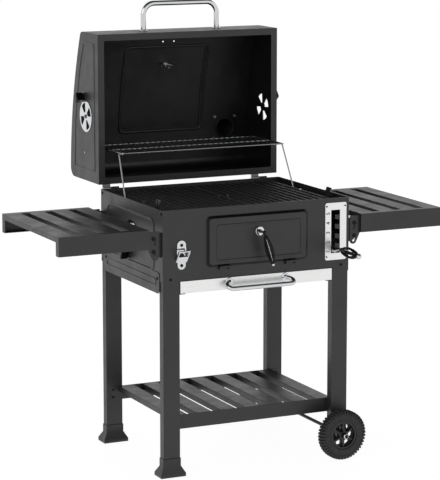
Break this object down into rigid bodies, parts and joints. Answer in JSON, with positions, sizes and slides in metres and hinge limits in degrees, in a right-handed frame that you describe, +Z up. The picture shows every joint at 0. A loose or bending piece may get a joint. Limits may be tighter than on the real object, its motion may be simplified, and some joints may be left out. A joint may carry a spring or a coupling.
{
  "type": "charcoal grill trolley",
  "caption": "Charcoal grill on a wheeled trolley: open hinged lid with warming rack, height-adjustable coal pan, stoking door, ash drawer and slatted shelves.",
  "frame": {"origin": "on the floor, under the middle of the plan box with the lid open", "axes": "+X to the grill's right seen from the front, -Y to the front, +Z up"},
  "size_m": [1.19, 0.936, 1.291],
  "materials": {
    "black_coat": "satin black powder coat",
    "enamel": "matt black cast iron and enamel",
    "chrome": "polished chrome plate",
    "steel": "brushed stainless steel",
    "zinc": "bright zinc plate",
    "plastic": "black moulded plastic",
    "tyre": "black ribbed rubber"
  },
  "bodies": {
    "trolley": {"leg_front_left": "black_coat", "leg_front_right": "black_coat", "leg_rear_left": "black_coat", "leg_rear_right": "black_coat", "foot_front_left": "plastic", "foot_rear_left": "plastic", "axle": "zinc", "shelf_rail_front": "black_coat", "shelf_rail_rear": "black_coat", "bottom_shelf_slats": "black_coat", "skirt_left": "black_coat", "skirt_right": "black_coat", "firebox_front": "black_coat", "firebox_rear": "black_coat", "firebox_left": "black_coat", "firebox_right": "black_coat", "drawer_runners": "black_coat", "shelf_brackets": "black_coat", "shoulder_screws": "black_coat", "height_plate": "steel", "bottle_opener": "chrome", "door_hinge_eyes": "black_coat", "lid_hinge_leaves": "black_coat", "cart_screws": "black_coat"},
    "left_grate": {"grate_left": "enamel"},
    "right_grate": {"grate_right": "enamel"},
    "front_wheel": {"tyre_front": "tyre", "hub_front": "plastic"},
    "rear_wheel": {"tyre_rear": "tyre", "hub_rear": "plastic"},
    "ash_drawer": {"ash_tray": "black_coat", "drawer_front": "steel", "drawer_handle": "chrome"},
    "pan_lift": {"charcoal_pan": "enamel", "pan_carrier": "zinc", "lever_grip": "plastic"},
    "stoking_door": {"charcoal_door": "black_coat", "latch_rose": "chrome"},
    "door_latch": {"latch_handle": "plastic"},
    "left_box_vent": {"box_vent_left": "chrome"},
    "right_box_vent": {"box_vent_right": "chrome"},
    "lid": {"lid_wrap": "black_coat", "lid_side_left": "black_coat", "lid_side_right": "black_coat", "lid_rim": "black_coat", "lid_handle": "chrome", "thermometer": "chrome", "chimney": "black_coat", "lid_hinge_knuckles": "zinc", "lid_screws": "black_coat"},
    "flue_cap": {"chimney_cap": "black_coat"},
    "left_lid_vent": {"lid_vent_left": "chrome"},
    "right_lid_vent": {"lid_vent_right": "chrome"},
    "rack": {"warming_rack": "chrome"},
    "left_rack_leg": {"rack_leg_left": "chrome"},
    "right_rack_leg": {"rack_leg_right": "chrome"},
    "left_shelf": {"left_shelf_bars": "black_coat", "left_shelf_slats": "black_coat"},
    "right_shelf": {"right_shelf_bars": "black_coat", "right_shelf_slats": "black_coat"}
  },
  "joints": [
    {"name": "lid_hinge", "type": "hinge", "parent": "trolley", "child": "lid", "pos_m": [0, 0.123, 0.752], "axis": [1, 0, 0], "range_deg": [0, 90]},
    {"name": "rack_pivot", "type": "hinge", "parent": "lid", "child": "rack", "pos_m": [0, 0.236, 0.846], "axis": [1, 0, 0], "range_deg": [-80, 5]},
    {"name": "left_rack_leg_pivot", "type": "hinge", "parent": "rack", "child": "left_rack_leg", "pos_m": [-0.258, 0.037, 0.864], "axis": [1, 0, 0], "range_deg": [-5, 50]},
    {"name": "right_rack_leg_pivot", "type": "hinge", "parent": "rack", "child": "right_rack_leg", "pos_m": [0.258, 0.037, 0.864], "axis": [1, 0, 0], "range_deg": [-5, 50]},
    {"name": "flue_cap_pivot", "type": "hinge", "parent": "lid", "child": "flue_cap", "pos_m": [0.173, 0.465, 0.88307], "axis": [0, 1, 0], "range_deg": [0, 100]},
    {"name": "left_lid_vent_turn", "type": "hinge", "parent": "lid", "child": "left_lid_vent", "pos_m": [-0.291, 0.221, 0.955], "axis": [1, 0, 0], "range_deg": [0, 45]},
    {"name": "right_lid_vent_turn", "type": "hinge", "parent": "lid", "child": "right_lid_vent", "pos_m": [0.291, 0.221, 0.955], "axis": [-1, 0, 0], "range_deg": [0, 45]},
    {"name": "left_box_vent_turn", "type": "hinge", "parent": "trolley", "child": "left_box_vent", "pos_m": [-0.291, -0.11, 0.651], "axis": [1, 0, 0], "range_deg": [0, 45]},
    {"name": "right_box_vent_turn", "type": "hinge", "parent": "trolley", "child": "right_box_vent", "pos_m": [0.291, -0.11, 0.651], "axis": [1, 0, 0], "range_deg": [0, 45]},
    {"name": "door_hinge", "type": "hinge", "parent": "trolley", "child": "stoking_door", "pos_m": [0, -0.34, 0.586], "axis": [1, 0, 0], "range_deg": [0, 95]},
    {"name": "latch_turn", "type": "hinge", "parent": "stoking_door", "child": "door_latch", "pos_m": [0.002, -0.34, 0.679], "axis": [0, -1, 0], "range_deg": [0, 75]},
    {"name": "drawer_slide", "type": "slide", "parent": "trolley", "child": "ash_drawer", "axis": [0, -1, 0], "range_m": [0, 0.33]},
    {"name": "pan_height", "type": "slide", "parent": "trolley", "child": "pan_lift", "axis": [0, 0, 1], "range_m": [0, 0.1096]},
    {"name": "left_grate_lift", "type": "slide", "parent": "trolley", "child": "left_grate", "axis": [0, 0, 1], "range_m": [0, 0.06]},
    {"name": "right_grate_lift", "type": "slide", "parent": "trolley", "child": "right_grate", "axis": [0, 0, 1], "range_m": [0, 0.06]},
    {"name": "front_wheel_spin", "type": "hinge", "parent": "trolley", "child": "front_wheel", "pos_m": [0.252, -0.371, 0.0725], "axis": [0, 1, 0], "continuous": true},
    {"name": "rear_wheel_spin", "type": "hinge", "parent": "trolley", "child": "rear_wheel", "pos_m": [0.252, 0.151, 0.0725], "axis": [0, 1, 0], "continuous": true},
    {"name": "left_shelf_lift", "type": "slide", "parent": "trolley", "child": "left_shelf", "axis": [-0.1736, 0, 0.9848], "range_m": [0, 0.0145]},
    {"name": "right_shelf_lift", "type": "slide", "parent": "trolley", "child": "right_shelf", "axis": [0.1736, 0, 0.9848], "range_m": [0, 0.0145]}
  ],
  "couplings": [
    {"joint": "rack_pivot", "follows": "lid_hinge", "ratio": -0.8514},
    {"joint": "left_rack_leg_pivot", "follows": "lid_hinge", "ratio": 0.5197},
    {"joint": "right_rack_leg_pivot", "follows": "lid_hinge", "ratio": 0.5197}
  ]
}
